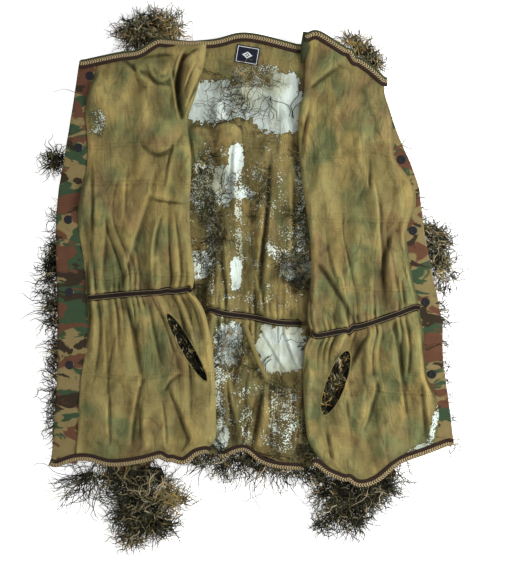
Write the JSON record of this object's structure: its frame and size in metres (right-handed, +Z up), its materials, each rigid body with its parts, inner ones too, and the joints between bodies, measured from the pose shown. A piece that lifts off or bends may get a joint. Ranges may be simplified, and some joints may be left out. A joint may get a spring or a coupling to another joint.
{
  "type": "ghillie jacket",
  "caption": "Thread-covered camouflage jacket lying flat on its back with the front open, lined, with an elastic waist, snap plackets and hand slits.",
  "frame": {"origin": "middle of the footprint, on the surface that the jacket lies on", "axes": "+Z up; +Y from hem to neck; +X towards the wearer's left as the jacket lies on its back, inside up"},
  "size_m": [0.7792, 0.9194, 0.0515],
  "materials": {
    "lining_cloth": "thin gathered olive and brown lining, matt",
    "camouflage_cloth": "printed woodland camouflage, matt",
    "striped_tape": "knitted tape, a tan stripe of chevrons above a dark brown stripe",
    "elastic": "woven elastic, dark with thin tan edges",
    "jute_threads": "loose crinkled threads in dark green, olive, gold and straw",
    "label_cloth": "black woven label",
    "snap_metal": "black enamel, semi-gloss"
  },
  "bodies": {
    "back": {"back_hem_tape": "striped_tape", "back_neck_tape": "striped_tape", "back_panel": "lining_cloth", "back_thread_mat": "jute_threads", "back_waist_elastic": "elastic", "left_side_hem_tape": "striped_tape", "left_side_neck_tape": "striped_tape", "left_side_panel": "lining_cloth", "left_side_waist_elastic": "elastic", "left_slit_welt": "lining_cloth", "right_armhole_roll": "lining_cloth", "right_shoulder_tuft": "jute_threads", "right_side_hem_tape": "striped_tape", "right_side_panel": "lining_cloth", "right_side_waist_elastic": "elastic", "right_slit_welt": "lining_cloth"},
    "right_front": {"right_front_panel": "lining_cloth", "right_front_thread_mat": "jute_threads", "right_hem_tape": "striped_tape", "right_neck_tape": "striped_tape", "right_placket": "camouflage_cloth", "right_post_1": "snap_metal", "right_post_2": "snap_metal", "right_post_3": "snap_metal", "right_post_4": "snap_metal", "right_post_5": "snap_metal", "right_stud_1": "snap_metal", "right_stud_2": "snap_metal", "right_stud_3": "snap_metal", "right_stud_4": "snap_metal", "right_stud_5": "snap_metal", "right_waist_elastic": "elastic"},
    "left_front": {"left_cap_1": "snap_metal", "left_cap_2": "snap_metal", "left_cap_3": "snap_metal", "left_cap_4": "snap_metal", "left_cap_5": "snap_metal", "left_front_panel": "lining_cloth", "left_front_thread_mat": "jute_threads", "left_hem_tape": "striped_tape", "left_neck_tape": "striped_tape", "left_placket": "camouflage_cloth", "left_socket_1": "snap_metal", "left_socket_2": "snap_metal", "left_socket_3": "snap_metal", "left_socket_4": "snap_metal", "left_socket_5": "snap_metal", "left_waist_elastic": "elastic"},
    "right_sleeve": {"right_cuff_elastic": "elastic", "right_cuff_fringe": "jute_threads", "right_elbow_tuft": "jute_threads", "right_sleeve": "camouflage_cloth", "right_sleeve_thread_mat": "jute_threads"},
    "left_sleeve": {"left_cuff_elastic": "elastic", "left_cuff_fringe": "jute_threads", "left_elbow_tuft": "jute_threads", "left_shoulder_tuft": "jute_threads", "left_sleeve": "camouflage_cloth", "left_sleeve_thread_mat": "jute_threads"},
    "neck_label": {"neck_label": "label_cloth"}
  },
  "joints": [
    {"name": "right_front_fold", "type": "hinge", "parent": "back", "child": "right_front", "pos_m": [-0.1391, 0, 0.0454], "axis": [0, 1, 0], "range_deg": [0, 150]},
    {"name": "left_front_fold", "type": "hinge", "parent": "back", "child": "left_front", "pos_m": [0.1749, 0, 0.0454], "axis": [0, -1, 0], "range_deg": [0, 170]},
    {"name": "right_sleeve_swing", "type": "hinge", "parent": "back", "child": "right_sleeve", "pos_m": [-0.1661, 0.3453, 0.017], "axis": [0, 0, -1], "range_deg": [0, 55]},
    {"name": "left_sleeve_swing", "type": "hinge", "parent": "back", "child": "left_sleeve", "pos_m": [0.1679, 0.3453, 0.017], "axis": [0, 0, 1], "range_deg": [0, 55]},
    {"name": "neck_label_lift", "type": "hinge", "parent": "back", "child": "neck_label", "pos_m": [0.0019, 0.3978, 0.027], "axis": [-0.9856, 0.1692, 0], "range_deg": [0, 150]}
  ]
}
